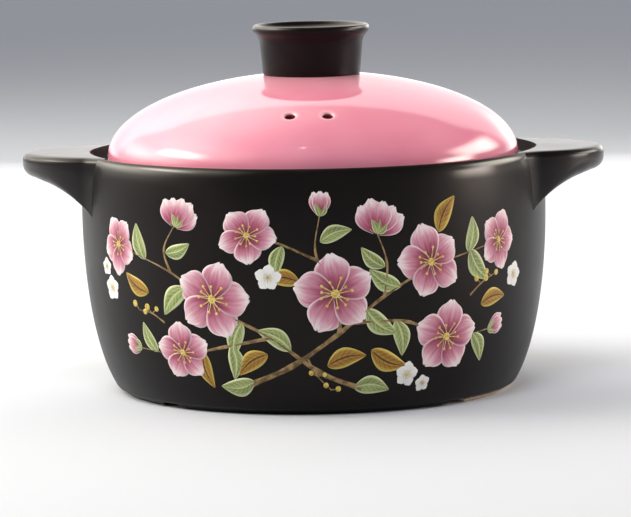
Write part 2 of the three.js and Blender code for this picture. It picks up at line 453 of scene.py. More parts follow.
# A drill with a trumpet mouth at each end, so that the glaze seems to flow into the hole
def holeDrill(side):
    r, flare, deep = lid["holeRadius"], lid["holeFlare"], lid["thickness"] + lid["drillSlack"]
    mouth = arc((r + flare, -flare), flare, 180, lid["mouthEnd"], 8)
    throat = [(x, -deep - y) for x, y in mouth[::-1]]
    wide, tall, edge = mouth[-1][0] + lid["drillSpare"], lid["drillLength"], lid["drillEdge"]
    outline = [(0, tall), (wide, tall), (wide, edge)] + mouth[::-1] + throat[::-1]
    outline += [(wide, -deep - edge), (wide, -deep - tall), (0, -deep - tall)]
    drill = turnPiece("holeDrill", outline, 40)
    place, square = holePlace(side)
    turn = square.to_track_quat("Z", "Y").to_matrix().to_4x4()
    drill.data.transform(Matrix.Translation(place * mm) @ turn)
    return drill


lidDome = turnPiece("lidDome", lidOutline(), lid["turns"])
editAll(lidDome)
bpy.ops.mesh.select_all(action="DESELECT")
bpy.ops.mesh.select_mode(type="FACE")
lidMesh = bmesh.from_edit_mesh(lidDome.data)
holeMiddles = [holePlace(side)[0] * mm for side in (-1, 1)]
for face in lidMesh.faces:
    near = min((face.calc_center_median() - middle).length for middle in holeMiddles)
    face.select_set(near < lid["fineReach"] * mm and face.normal.z > 0)
bmesh.update_edit_mesh(lidDome.data)
bpy.ops.mesh.subdivide(number_cuts=lid["fineCuts"])
bpy.ops.mesh.select_mode(type="VERT")
bpy.ops.object.mode_set(mode="OBJECT")
for vertex in lidDome.data.vertices:  # the new points go back onto the dome
    surface = domeAt(vertex.co.xy.length / mm)
    if vertex.co.z > max(surface - lid["skin"], domeFoot + lid["fineFrom"]) * mm:
        vertex.co.z = surface * mm
for side in (-1, 1):
    drill = holeDrill(side)
    makeActive(lidDome)
    cut = lidDome.modifiers.new("steamHole", "BOOLEAN")
    cut.operation, cut.solver, cut.object = "DIFFERENCE", "EXACT", drill
    bpy.ops.object.modifier_apply(modifier=cut.name)
    bpy.data.objects.remove(drill)
closeUp(lidDome, sharp=50)
print("lid domed and drilled:", len(lidDome.data.polygons), "faces")


# Lid knob

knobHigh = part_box("lid_knob")[1]
knob = {
    "baseRadius": 24.1,
    "waistRadius": 25.4,
    "flareHeight": 4.8,
    "lipRound": 1.3,
    "lipSwell": 0.1,
    "dishDepth": 5,
    "dishBrim": 0.2,
    "dishEdge": (0.5, 1.3),  # in from the dish's rim, and down
    "dishFullness": 0.8,
    "baseRound": 1.1,
    "sink": 0.2,
    "turns": 160,
}


def knobOutline():
    k = knob
    top, flare = knobHigh.z / mm, knobHigh.x / mm
    lip, edge = k["lipRound"], k["baseRound"]
    inner = k["baseRadius"] - edge
    under = [(inner * n / 8, domeAt(inner * n / 8) - k["sink"]) for n in range(9)]
    base = (k["baseRadius"], domeAt(inner) + edge)
    waist = (k["waistRadius"], top - k["flareHeight"] * 2)
    throat = top - k["flareHeight"]
    widest = (flare, top - lip * 2)
    crest = (flare - lip, top)
    dishRadius, dishFloor = flare - lip * 2, top - k["dishDepth"]
    dishStart = (dishRadius - k["dishEdge"][0], top - k["dishEdge"][1])
    return (
        under
        + bezier([under[-1], (k["baseRadius"], domeAt(inner)), base], 6)
        + bezier([base, waist], 6)
        + bezier([waist, (waist[0] + lip / 2, throat), (flare - lip / 2, throat), widest], 20)
        + bezier([widest, (flare + k["lipSwell"], top - k["lipSwell"]), crest], 10)
        + bezier([crest, (dishRadius + k["dishBrim"], top), dishStart], 6)
        + bezier([dishStart, (dishRadius - k["dishDepth"] * k["dishFullness"], dishFloor),
                  (0, dishFloor)], 18)
    )


lidKnob = turnPiece("lidKnob", knobOutline(), knob["turns"])
print("knob turned:", len(lidKnob.data.polygons), "faces")


# Decoration: enamel sprigs on the front of the pot, made flat and then laid on the wall, a hair proud of it

decor = {
    "slab": 3,  # depth of a flat piece
    "front": -1,  # what lies above this in a flat piece is its front
    "sunk": 0.4,
    "relief": 0.10,
    "twigLayer": 0.02,
    "leafLayer": 0.05,
    "petalLayer": 0.09,
    "heartLayer": 0.17,
    "overlap": 0.03,  # between the petals of a bud
    "twigEnd": 0.4,
    "knotSwell": 0.35,
    "twigSteps": 12,
    "seed": 7,
}
petalForm = {"width": 0.43, "foot": 0.05, "roundTip": 0.10, "notch": 0.05}
leafForm = {"width": 0.23, "stem": 0.012, "sway": 0.10}
heartForm = {"bead": 0.105, "beadRise": 1.6, "threads": 11, "reach": 0.34, "reachChange": 0.07, "start": 0.07,
             "halfThread": 0.011, "threadLift": 0.4, "tip": 0.038, "tipLift": 0.5}
blossomForm = {"petals": 5, "sizes": (0.94, 1.04), "sway": (-4, 4)}
budForm = {  # petals by their turn, layers above the first and slimness
    "petals": ((-16, 0, 0.62), (16, 0, 0.62), (0, 2, 0.72)),
    "leaves": (-24, 24),
    "leafSize": 0.55,
}
halfOpenForm = {
    "petals": ((-46, 0, 0.8), (46, 0, 0.8), (-22, 1, 0.8), (24, 1, 0.8), (0, 2, 0.8)),
    "sizes": (0.92, 1.04),
    "leaves": (-34, 0, 34),
    "leafSize": 0.42,
}
sprayForm = {"stalk": 0.9, "stem": 0.6, "stemLength": 2.6, "splay": (0.7, 1.3), "lean": (0.9, 1.7),
             "sizes": (0.8, 1.1)}
chance = random.Random(decor["seed"])


# A point of the pot's outside, by the way round from the front and the height, and lifted off it, all in mm
def onWall(side, height, lift):
    radius, (outward, upward) = wallAt(height)
    angle = side / rimRadius
    reach = radius + outward * lift
    return Vector((reach * sin(angle), -reach * cos(angle), height + upward * lift)) * mm


# A thin closed slab: its front is shaped by place, its back goes into the wall later
def flatPiece(name, columns, rows, place):
    piece = shapedGrid(name, columns, rows, place)
    editAll(piece)
    bpy.ops.mesh.remove_doubles(threshold=0.0001)
    bpy.ops.mesh.extrude_region_move(TRANSFORM_OT_translate={"value": (0, 0, -decor["slab"])})
    return closeUp(piece, weld=0.00001, sharp=60)


# Turns a flat piece to a direction (0 right, 90 up), flattens it along its tilt and wraps it on the wall
def wrap(piece, spot, size, direction, layer, slim=1.0, tilt=(1.0, 0)):
    turn = Matrix.Rotation(radians(direction - 90), 2)
    lean = Matrix.Rotation(radians(tilt[1]), 2)
    squash = lean @ Matrix.Diagonal((tilt[0], 1.0)) @ lean.transposed()
    shape = squash @ turn
    for vertex in piece.data.vertices:
        flat = shape @ (Vector((vertex.co.x * slim, vertex.co.y)) * size)
        front = vertex.co.z > decor["front"]
        lift = layer + vertex.co.z * decor["relief"] if front else -decor["sunk"]
        vertex.co = onWall(spot[0] + flat.x, spot[1] + flat.y, lift)
    return piece


def lay(kind, template, *where, **shape):
    makeActive(template)
    bpy.ops.object.duplicate()
    kind.append(wrap(bpy.context.object, *where, **shape))


def petalShape(u, v):
    p, across = petalForm, 2 * u - 1
    width = p["width"] * sin(pi * (0.06 + 0.86 * v ** 1.15)) ** 0.75
    tip = p["roundTip"] * across ** 2 * v ** 4 + p["notch"] * max(0, 1 - abs(across) * 4) * v ** 8
    crown = 0.3 + 0.3 * across + 0.4 * (1 - across ** 2) * sin(pi * v)
    return Vector((across * width, p["foot"] + (1 - p["foot"]) * v - tip, crown))


def leafShape(u, v):
    across = 2 * u - 1
    width = leafForm["width"] * sin(pi * v ** 0.8) ** 0.9 + leafForm["stem"]
    sway = leafForm["sway"] * sin(pi * v)
    return Vector((across * width + sway, v, 0.2 + 0.5 * (1 - abs(across))))


def beadShape(u, v):
    angle = fullTurn * u
    return Vector((cos(angle) * v, sin(angle) * v, heartForm["beadRise"] * (1 - v * v)))


# The heart of a blossom: a bead in the middle, and beads on fine threads around it
def heartTemplate():
    h = heartForm
    up = Vector((0, 0, 1))
    parts = [flatPiece("bead", 12, 3, lambda u, v: beadShape(u, v) * h["bead"])]
    for k in range(h["threads"]):
        angle = fullTurn * (k + 0.3 * sin(5 * k)) / h["threads"]
        reach = h["reach"] + h["reachChange"] * sin(3 * k + 1)
        out = Vector((cos(angle), sin(angle), 0))
        beside = Vector((-out.y, out.x, 0)) * h["halfThread"]
        parts.append(flatPiece("thread", 2, 4, lambda u, v: out * (h["start"] + v * (reach - h["start"]))
                               + beside * (2 * u - 1) + up * h["threadLift"]))
        parts.append(flatPiece("tip", 8, 2, lambda u, v: beadShape(u, v) * h["tip"] + out * reach
                               + up * h["tipLift"]))
    return joinAll("heart", parts)


petal = flatPiece("petal", 10, 12, petalShape)
leaf = flatPiece("leaf", 8, 16, leafShape)
bead = flatPiece("bead", 12, 3, beadShape)
heart = heartTemplate()
pinkPetals, whitePetals, hearts, greenLeaves, goldLeaves, twigs, berries = [], [], [], [], [], [], []


def blossom(spot, across, petals=pinkPetals, tilt=(1.0, 0), start=90):
    form = blossomForm
    for k in range(form["petals"]):
        lay(petals, petal, spot, across / 2 * chance.uniform(*form["sizes"]),
            start + 360 / form["petals"] * k + chance.uniform(*form["sway"]), decor["petalLayer"], tilt=tilt)
    lay(hearts, heart, spot, across / 2, start, decor["heartLayer"], tilt=tilt)


# A blossom from the side, closed or half open, held by small leaves
def sideBlossom(form, spot, length, direction):
    for turn, above, slim in form["petals"]:
        size = length * chance.uniform(*form["sizes"]) if "sizes" in form else length
        lay(pinkPetals, petal, spot, size, direction + turn, decor["petalLayer"] + above * decor["overlap"],
            slim=slim)
    for turn in form["leaves"]:
        lay(greenLeaves, leaf, spot, length * form["leafSize"], direction + turn, decor["heartLayer"])


def leaves(kind, *places):
    for side, height, length, direction in places:
        lay(kind, leaf, (side, height), length, direction, decor["leafLayer"], slim=chance.choice((-1, 1)))


# A twig through some points of the wall, thinning from its foot to its end, with a swelling at each point
def twig(points, width):
    ends = [Vector(points[0]) * 2 - Vector(points[1])] + [Vector(p) for p in points]
    ends.append(ends[-1] * 2 - ends[-2])
    spans = len(points) - 1

    def along(share):
        k = min(int(share * spans), spans - 1)
        t = share * spans - k
        a, b, c, d = ends[k:k + 4]
        curve = (2 * a - 5 * b + 4 * c - d) * t ** 2 + (3 * b - a - 3 * c + d) * t ** 3
        return (2 * b + (c - a) * t + curve) / 2

    def place(u, v):
        step = (along(min(v + 0.01, 1)) - along(max(v - 0.01, 0))).normalized()
        knot = 1 + decor["knotSwell"] * cos(pi * v * spans) ** 8
        half = (width * (1 - v) + decor["twigEnd"] * v) / 2 * knot
        spot = along(v) + Vector((-step.y, step.x)) * half * (2 * u - 1)
        return Vector((spot.x, spot.y, 1 - (2 * u - 1) ** 2))

    twigs.append(wrap(flatPiece("twig", 4, spans * decor["twigSteps"], place), (0, 0), 1.0, 90,
                      decor["twigLayer"]))


# A spray of berries: a thin stalk with beads on short stems
def spray(points, size):
    form = sprayForm
    twig(points, form["stalk"])
    stem = size * form["stemLength"]
    for side, height in points[1:]:
        for turn in (-1, 1):
            angle = chance.uniform(*form["splay"]) * turn + chance.uniform(*form["lean"])
            end = (side + cos(angle) * stem, height + sin(angle) * stem)
            twig([(side, height), end], form["stem"])
            lay(berries, bead, end, size * chance.uniform(*form["sizes"]), 90, decor["petalLayer"])


twig([(-34, 15), (-10, 25), (14, 41), (36, 58), (62, 71), (102, 80)], 2.8)
twig([(26, 13), (4, 22), (-20, 39), (-46, 52), (-72, 69), (-108, 80)], 2.6)
twig([(14, 41), (13, 60), (3, 79), (5, 98)], 1.9)
twig([(20, 46), (48, 45), (72, 35), (99, 37)], 1.8)
twig([(-20, 39), (-44, 34), (-70, 29), (-98, 30)], 1.8)
twig([(4, 76), (-14, 84), (-30, 88)], 1.4)
twig([(36, 58), (37, 74), (32, 89)], 1.4)
twig([(-72, 69), (-75, 80), (-68, 92)], 1.4)
blossom((12, 60), 41, start=100)
blossom((-49, 57), 40, start=75)
blossom((60, 73), 38, start=110, tilt=(0.9, 30))
blossom((-30, 88), 32, start=60, tilt=(0.86, 110))
blossom((71, 36), 37, start=85)
blossom((-69, 30), 33, start=95, tilt=(0.9, 90))
blossom((103, 80), 30, start=70, tilt=(0.82, 0))
blossom((-108, 80), 31, start=120, tilt=(0.82, 0))
sideBlossom(halfOpenForm, (32, 88), 17, 76)
sideBlossom(halfOpenForm, (-68, 91), 15, 70)
sideBlossom(budForm, (5, 97), 12, 88)
sideBlossom(budForm, (99, 37), 12, 18)
sideBlossom(budForm, (-98, 30), 12, 168)
leaves(greenLeaves, (27, 52, 20, -38), (44, 62, 18, 150), (83, 77, 20, -50), (82, 76, 17, 82),
       (-10, 33, 19, 150), (-34, 46, 18, 252), (-63, 62, 20, 224), (-88, 74, 18, 108), (5, 85, 16, 20),
       (42, 46, 18, -76), (88, 36, 17, -58), (-40, 35, 17, 268), (-86, 29, 16, 118), (-30, 17, 19, 188),
       (22, 14, 19, -6), (-13, 83, 15, 258), (36, 72, 15, 140), (-74, 78, 15, 20))
leaves(goldLeaves, (30, 32, 21, -24), (8, 25, 20, 14), (64, 87, 19, 60), (-5, 66, 17, 176),
       (-22, 31, 19, 214), (-57, 31, 18, 282), (-87, 58, 18, 152), (92, 50, 18, 8))
spray([(84, 55), (91, 60), (98, 63)], 1.6)
spray([(-78, 44), (-86, 48), (-95, 49)], 1.6)
spray([(-2, 29), (3, 20), (10, 13)], 1.4)
for side, height, across in ((-117, 58, 13), (-121, 68, 9), (117, 62, 13), (50, 19, 13), (60, 14, 9),
                             (-20, 68, 13)):
    blossom((side, height), across, whitePetals, start=chance.uniform(60, 120))
for template in (petal, leaf, bead, heart):
    bpy.data.objects.remove(template)
strokes = {"pinkPetals": pinkPetals, "whitePetals": whitePetals, "blossomHearts": hearts,
           "greenLeaves": greenLeaves, "goldLeaves": goldLeaves, "twigs": twigs, "berries": berries}
decorPieces = {name: joinAll(name, pieces) for name, pieces in strokes.items()}
print("sprigs laid on the wall:", {name: len(piece.data.polygons) for name, piece in decorPieces.items()})


# Node helpers

def addNode(tree, kind, **settings):
    made = tree.nodes.new("ShaderNode" + kind)
    for key, value in settings.items():
        setattr(made, key, value)
    return made


# Each input gets its value, or a link where the value is the output of another node
def feed(node, values):
    for key, value in values.items():
        socket = node.inputs[key]
        if hasattr(value, "is_linked"):
            node.id_data.links.new(value, socket)
        else:
            socket.default_value = (*value, 1) if socket.type == "RGBA" else value
    return node


def newFinish(name):
    material = bpy.data.materials.new(name)
    material.use_nodes = True
    return material, material.node_tree, material.node_tree.nodes["Principled BSDF"]


# The helpers below add their node to the tree of the output that they are given

def mixColour(mask, low, high):
    mixed = addNode(mask.id_data, "Mix", data_type="RGBA")
    return feed(mixed, {0: mask, 6: low, 7: high}).outputs[2]


def spread(value, low, high, newLow=0.0, newHigh=1.0):
    ranged = addNode(value.id_data, "MapRange", interpolation_type="SMOOTHSTEP")
    ends = {"From Min": low, "From Max": high, "To Min": newLow, "To Max": newHigh}
    return feed(ranged, {"Value": value, **ends}).outputs[0]


def levels(value, ends):  # the same, between ends in mm
    return spread(value, ends[0] * mm, ends[1] * mm)


def sums(kind, first, second=0.0):
    return feed(addNode(first.id_data, "Math", operation=kind), {0: first, 1: second}).outputs[0]


def times(first, second):
    return sums("MULTIPLY", first, second)


def vectorSums(kind, first, second):
    return feed(addNode(first.id_data, "VectorMath", operation=kind), {0: first, 1: second}).outputs[0]


def lengthOf(vector):
    return feed(addNode(vector.id_data, "VectorMath", operation="LENGTH"), {0: vector}).outputs["Value"]


def splitUp(vector):
    return feed(addNode(vector.id_data, "SeparateXYZ"), {0: vector}).outputs


def noise(vector, scale, detail):
    made = addNode(vector.id_data, "TexNoise")
    return feed(made, {"Vector": vector, "Scale": scale, "Detail": detail}).outputs["Fac"]


def bumpFrom(height, strength, distance, shader):
    bump = addNode(height.id_data, "Bump")
    feed(bump, {"Height": height, "Strength": strength, "Distance": distance})
    feed(shader, {"Normal": bump.outputs[0]})


# Fired glaze, shared by every glazed piece: slow clouds, small specks and an orange-peel height
firing = {
    "scales": {"Cloud": 22.0, "Speck": 420.0, "Peel": 260.0},
    "cloudDetail": 4,
    "cloudSpan": (0.3, 0.7),
    "rareSpeck": 0.86,
    "speckEdge": (0.32, 0.12),
    "peelDetail": 2,
}


def makeGlazeGroup():
    group = bpy.data.node_groups.new("firedGlaze", "ShaderNodeTree")
    sockets = group.interface
    sockets.new_socket("Vector", in_out="INPUT", socket_type="NodeSocketVector")
    for name, scale in firing["scales"].items():
        socket = sockets.new_socket(name + " Scale", in_out="INPUT", socket_type="NodeSocketFloat")
        socket.default_value = scale
        sockets.new_socket(name, in_out="OUTPUT", socket_type="NodeSocketFloat")
    start, end = group.nodes.new("NodeGroupInput"), group.nodes.new("NodeGroupOutput")
    where = start.outputs["Vector"]
    cloud = noise(where, start.outputs["Cloud Scale"], firing["cloudDetail"])
    speck = addNode(group, "TexVoronoi", feature="F1")
    feed(speck, {"Vector": where, "Scale": start.outputs["Speck Scale"]})
    draw = feed(addNode(group, "SeparateColor"), {0: speck.outputs["Color"]}).outputs[0]
    rare = sums("GREATER_THAN", draw, firing["rareSpeck"])
    feed(end, {
        "Cloud": spread(cloud, *firing["cloudSpan"]),
        "Speck": times(rare, spread(speck.outputs["Distance"], *firing["speckEdge"])),
        "Peel": noise(where, start.outputs["Peel Scale"], firing["peelDetail"]),
    })
    return group


# Bare fired clay with a fine grain
clayLook = {
    "deep": (0.52, 0.38, 0.27),
    "light": (0.74, 0.60, 0.47),
    "scale": 900,
    "detail": 6,
    "span": (0.3, 0.7),
    "roughness": 0.85,
}


def makeClayGroup():
    group = bpy.data.node_groups.new("bareClay", "ShaderNodeTree")
    group.interface.new_socket("Vector", in_out="INPUT", socket_type="NodeSocketVector")
    group.interface.new_socket("Color", in_out="OUTPUT", socket_type="NodeSocketColor")
    start, end = group.nodes.new("NodeGroupInput"), group.nodes.new("NodeGroupOutput")
    grain = noise(start.outputs["Vector"], clayLook["scale"], clayLook["detail"])
    grain = spread(grain, *clayLook["span"])
    feed(end, {"Color": mixColour(grain, clayLook["deep"], clayLook["light"])})
    return group


glazeGroup = makeGlazeGroup()
clayGroup = makeClayGroup()


def placed(tree, group, values):
    made = tree.nodes.new("ShaderNodeGroup")
    made.node_tree = group
    return feed(made, values)


# What every glaze begins with: clouds and specks of its colours
def glazeStart(name, look):
    material, tree, shader = newFinish(name)
    where = addNode(tree, "TexCoord").outputs["Object"]
    height = splitUp(where)[2]
    glaze = placed(tree, glazeGroup, {"Vector": where, **look["scales"]})
    cloud = glaze.outputs["Cloud"]
    colour = mixColour(cloud, look["deep"], look["light"])
    colour = mixColour(times(glaze.outputs["Speck"], look["speckShare"]), colour, look["speck"])
    rough = spread(cloud, 0, 1, *look["roughness"])
    return material, shader, where, height, glaze.outputs["Peel"], colour, rough


# Clay in place of the glaze where the mask is 1
def leftBare(where, bare, colour, rough):
    clay = placed(where.id_data, clayGroup, {"Vector": where})
    rough = sums("MAXIMUM", rough, times(bare, clayLook["roughness"]))
    return mixColour(bare, colour, clay.outputs["Color"]), rough


# Satin glaze. Below bareHeight the clay is left bare, and above thinHeight the glaze thins to brown.
def satinGlaze(name, look):
    material, shader, where, height, peel, colour, rough = glazeStart(name, look)
    if "thinHeight" in look:
        thin = times(levels(height, look["thinHeight"]), look["thinShare"])
        colour = mixColour(thin, colour, look["thin"])
    if "bareHeight" in look:
        wander = times(sums("SUBTRACT", peel, 0.5), look["bareWander"] * mm)
        edge = (look["bareHeight"], look["bareHeight"] - look["bareEdge"])
        bare = levels(sums("ADD", height, wander), edge)
        colour, rough = leftBare(where, bare, colour, rough)
    coat = look.get("coat", 0.0)
    if "glossHeight" in look:  # the glaze lies thicker and shinier on the lip
        level = height
        if "glossCone" in look:  # rising outwards, so that it leaves out the knob's neck
            fromAxis = lengthOf(vectorSums("MULTIPLY", where, (1, 1, 0)))
            level = sums("SUBTRACT", height, times(fromAxis, look["glossCone"]))
        coat = times(levels(level, look["glossHeight"]), look["lipCoat"])
        if "crestHeight" in look:  # but not on its crest
            coat = times(coat, levels(height, look["crestHeight"][::-1]))
    feed(shader, {"Base Color": colour, "Roughness": rough, "Specular IOR Level": look["gloss"],
                  "Specular Tint": look["sheen"], "Coat Weight": coat,
                  "Coat Roughness": look["coatRoughness"]})
    bumpFrom(peel, look["peel"], look["peelDepth"] * mm, shader)
    return material


def without(look, *keys, **changes):
    return dict({key: value for key, value in look.items() if key not in keys}, **changes)


blackLook = {
    "scales": {"Cloud Scale": 24.0},
    "deep": (0.0034, 0.0027, 0.0029),
    "light": (0.0056, 0.0044, 0.0045),
    "speck": (0.014, 0.010, 0.009),
    "speckShare": 0.35,
    "thin": (0.022, 0.014, 0.011),
    "thinShare": 0.6,
    "thinHeight": (117.6, 119.2),
    "glossHeight": (110.0, 116.0),
    "crestHeight": (117.6, 118.6),
    "lipCoat": 0.75,
    "bareHeight": 2.6,
    "bareEdge": 0.25,
    "bareWander": 0.5,
    "roughness": (0.36, 0.42),
    "gloss": 0.17,
    "sheen": (1.0, 0.92, 0.89),
    "coatRoughness": 0.10,
    "peel": 0.10,
    "peelDepth": 0.15,
}
handleLook = without(blackLook, "bareHeight", "thinHeight", "glossHeight", coat=0.42, roughness=(0.34, 0.41))
footLook = without(blackLook, "thinHeight", "glossHeight", bareHeight=0.25, bareWander=0.3)
bareFootLook = dict(footLook, bareHeight=2.0, bareWander=0.8)
knobLook = dict(without(blackLook, "bareHeight", "crestHeight"), **{
    "scales": {"Cloud Scale": 60.0},
    "deep": (0.0060, 0.0036, 0.0040),
    "light": (0.0090, 0.0055, 0.0060),
    "speck": (0.022, 0.014, 0.012),
    "thin": (0.03, 0.018, 0.014),
    "thinHeight": (179.4, 180.6),
    "glossHeight": (158.0, 159.5),
    "glossCone": 0.7,
    "lipCoat": 0.6,
    "roughness": (0.30, 0.38),
    "gloss": 0.12,
    "sheen": (1.0, 0.86, 0.88),
    "coatRoughness": 0.22,
})
blackGlaze = satinGlaze("blackSatinGlaze", blackLook)
handleGlaze = satinGlaze("handleSatinGlaze", handleLook)
footGlaze = satinGlaze("footGlazeAndClay", footLook)
bareFootGlaze = satinGlaze("bareFootGlazeAndClay", bareFootLook)
knobGlaze = satinGlaze("brownBlackGlaze", knobLook)

pinkLook = {
    "scales": {"Cloud Scale": 16.0, "Speck Scale": 300.0, "Peel Scale": 120.0},
    "deep": (0.79, 0.25, 0.358),
    "light": (0.85, 0.31, 0.425),
    "speck": (0.62, 0.14, 0.20),
    "speckShare": 0.06,
    # painted highlight: the colour that the crown and the rings round the steam holes are painted with
    "paleHighlight": (0.90, 0.52, 0.58),
    "paleHighlightHeight": (148, 157),
    "paleHighlightShare": 0.35,
    # painted highlight: how far out and how strongly a paler ring is painted round each hole's mouth
    "holeHighlightReach": (2.6, 5.4),
    "holeHighlightShare": 0.8,
    # painted shade: the dark colour of each hole's throat, and how far it reaches past the hole's radius
    "hole": (0.22, 0.040, 0.055),
    "holeEdge": 0.5,
    "seatHeight": (109.75, 109.45),
    "roughness": (0.07, 0.11),
    "gloss": 0.8,
    "peel": 0.04,
    "peelDepth": 0.2,
}


# Glossy pink glaze with a bare clay seat. Painted highlight: the crown and a ring round each steam hole are
# painted paler. Painted shade: the throat of each hole is painted dark.
def pinkGlazeFinish(name, look):
    material, shader, where, height, peel, colour, rough = glazeStart(name, look)
    # painted highlight: the top of the dome is painted paler
    paleHighlight = times(levels(height, look["paleHighlightHeight"]), look["paleHighlightShare"])
    boredShade = 0.0
    for side in (-1, 1):  # distance from the hole's own axis
        place, square = holePlace(side)
        fromHole = vectorSums("SUBTRACT", where, place * mm)
        away = lengthOf(vectorSums("CROSS_PRODUCT", fromHole, square))
        # painted highlight: a paler ring painted round the hole's flared mouth
        holeHighlight = times(levels(away, look["holeHighlightReach"][::-1]), look["holeHighlightShare"])
        paleHighlight = sums("MAXIMUM", paleHighlight, holeHighlight)
        # painted shade: the throat of the hole is painted dark
        throat = levels(away, (lid["holeRadius"] + look["holeEdge"], lid["holeRadius"]))
        boredShade = sums("MAXIMUM", throat, boredShade)
    colour = mixColour(paleHighlight, colour, look["paleHighlight"])
    colour = mixColour(boredShade, colour, look["hole"])
    colour, rough = leftBare(where, levels(height, look["seatHeight"]), colour, rough)
    feed(shader, {"Base Color": colour, "Roughness": rough, "Specular IOR Level": look["gloss"]})
    bumpFrom(peel, look["peel"], look["peelDepth"] * mm, shader)
    return material


pinkGlaze = pinkGlazeFinish("pinkGlaze", pinkLook)

# Enamels of the decoration. Their pattern follows each piece: u across it, v from its foot to its tip.
enamel = {
    "gloss": 0.35,
    "grainSpan": (0.2, 0.8),
    "reliefDepth": 0.05,
    "streakLength": 0.14,
    "streakShift": 60,
    "streakDetail": 3,
}


# A finish with fine brush streaks that run from foot to tip and differ from piece to piece
def strokeFrame(name, look):
    material, tree, shader = newFinish(name)
    place = splitUp(addNode(tree, "UVMap").outputs[0])
    across, along = place[0], place[1]
    away = sums("ABSOLUTE", sums("SUBTRACT", times(across, 2), 1))
    height = splitUp(addNode(tree, "TexCoord").outputs["Object"])[2]
    vector = feed(addNode(tree, "CombineXYZ"), {
        0: times(across, look["fineness"]),
        1: times(along, look["fineness"] * enamel["streakLength"]),
        2: times(height, enamel["streakShift"]),
    })
    streaks = noise(vector.outputs[0], 1.0, enamel["streakDetail"])
    return material, shader, along, away, streaks


# What every enamel ends with
def enamelEnd(shader, look, colour, grain, relief):
    rough = spread(grain, *enamel["grainSpan"], *look["roughness"])
    feed(shader, {"Base Color": colour, "Roughness": rough, "Specular IOR Level": enamel["gloss"]})
    bumpFrom(relief, look["relief"], enamel["reliefDepth"] * mm, shader)


def ramp(value, stops):
    made = addNode(value.id_data, "ValToRGB")
    while len(made.color_ramp.elements) < len(stops):
        made.color_ramp.elements.new(0.5)
    for element, (place, colour) in zip(made.color_ramp.elements, stops):
        element.position = place
        element.color = (*colour, 1)
    return feed(made, {0: value}).outputs[0]


def petalEnamel(name, look):
    material, shader, along, away, streaks = strokeFrame(name, look)
    sway = times(sums("SUBTRACT", streaks, 0.5), look["streak"])
    colour = ramp(sums("ADD", along, sway), look["stops"])
    rim = sums("MAXIMUM", spread(away, *look["rimSides"]), spread(along, *look["rimTip"]))
    colour = mixColour(times(rim, look["rimShare"]), colour, look["rim"])
    enamelEnd(shader, look, colour, streaks, streaks)
    return material


# Leaves: a midrib and slanting side veins, and a rim of its own colour
def leafEnamel(name, look):
    material, shader, along, away, streaks = strokeFrame(name, look)
    colour = mixColour(spread(streaks, *look["streakSpan"]), look["deep"], look["light"])
    colour = mixColour(spread(away, *look["rimSpan"]), colour, look["rim"])
    slant = sums("SUBTRACT", times(along, look["sideVeins"]), times(away, look["slant"]))
    beat = sums("ABSOLUTE", sums("SUBTRACT", sums("FRACT", slant), 0.5))
    side = times(spread(beat, *look["sideWidth"]), spread(away, *look["sideFade"]))
    rib = spread(away, *look["ribWidth"])
    veins = sums("MAXIMUM", rib, times(side, look["sideShare"]))
    colour = mixColour(times(veins, look["veinShare"]), colour, look["vein"])
    enamelEnd(shader, look, colour, streaks, veins)
    return material


# Plain strokes: twigs, threads and beads
def strokeEnamel(name, look):
    material, tree, shader = newFinish(name)
    grain = noise(addNode(tree, "TexCoord").outputs["Object"], look["scale"], look["detail"])
    colour = mixColour(spread(grain, *look["span"]), look["deep"], look["light"])
    enamelEnd(shader, look, colour, grain, grain)
    return material


pinkPetalLook = {
    "stops": [(0.08, (0.15, 0.018, 0.045)), (0.34, (0.36, 0.075, 0.14)), (0.64, (0.57, 0.26, 0.34)),
              (0.92, (0.80, 0.68, 0.70))],
    "fineness": 11,
    "streak": 0.55,
    "rim": (0.80, 0.70, 0.72),
    "rimShare": 0.75,
    "rimSides": (0.8, 1.0),
    "rimTip": (0.9, 1.0),
    "roughness": (0.34, 0.48),
    "relief": 0.15,
}
whitePetalLook = dict(pinkPetalLook, **{
    "stops": [(0.0, (0.50, 0.50, 0.48)), (0.3, (0.72, 0.72, 0.71)), (1.0, (0.80, 0.80, 0.79))],
    "streak": 0.3,
    "rim": (0.80, 0.80, 0.79),
    "rimShare": 0.5,
})
greenLeafLook = {
    "deep": (0.12, 0.17, 0.045),
    "light": (0.30, 0.36, 0.12),
    "fineness": 9,
    "streakSpan": (0.3, 0.7),
    "rim": (0.62, 0.66, 0.38),
    "rimSpan": (0.55, 1.0),
    "vein": (0.66, 0.68, 0.40),
    "veinShare": 0.6,
    "ribWidth": (0.13, 0.05),
    "sideVeins": 7,
    "slant": 1.8,
    "sideWidth": (0.10, 0.02),
    "sideFade": (0.95, 0.6),
    "sideShare": 0.8,
    "roughness": (0.32, 0.46),
    "relief": 0.2,
}
goldLeafLook = dict(greenLeafLook, **{
    "deep": (0.24, 0.10, 0.012),
    "light": (0.44, 0.25, 0.03),
    "rim": (0.60, 0.48, 0.10),
    "vein": (0.030, 0.014, 0.006),
    "veinShare": 0.95,
})
heartLook = {
    "deep": (0.50, 0.30, 0.05),
    "light": (0.70, 0.60, 0.22),
    "scale": 900,
    "detail": 4,
    "span": (0.35, 0.65),
    "roughness": (0.32, 0.46),
    "relief": 0.2,
}
twigLook = dict(heartLook, deep=(0.10, 0.055, 0.018), light=(0.32, 0.21, 0.09), scale=300)
berryLook = dict(heartLook, deep=(0.46, 0.33, 0.05), light=(0.66, 0.54, 0.14), scale=500)
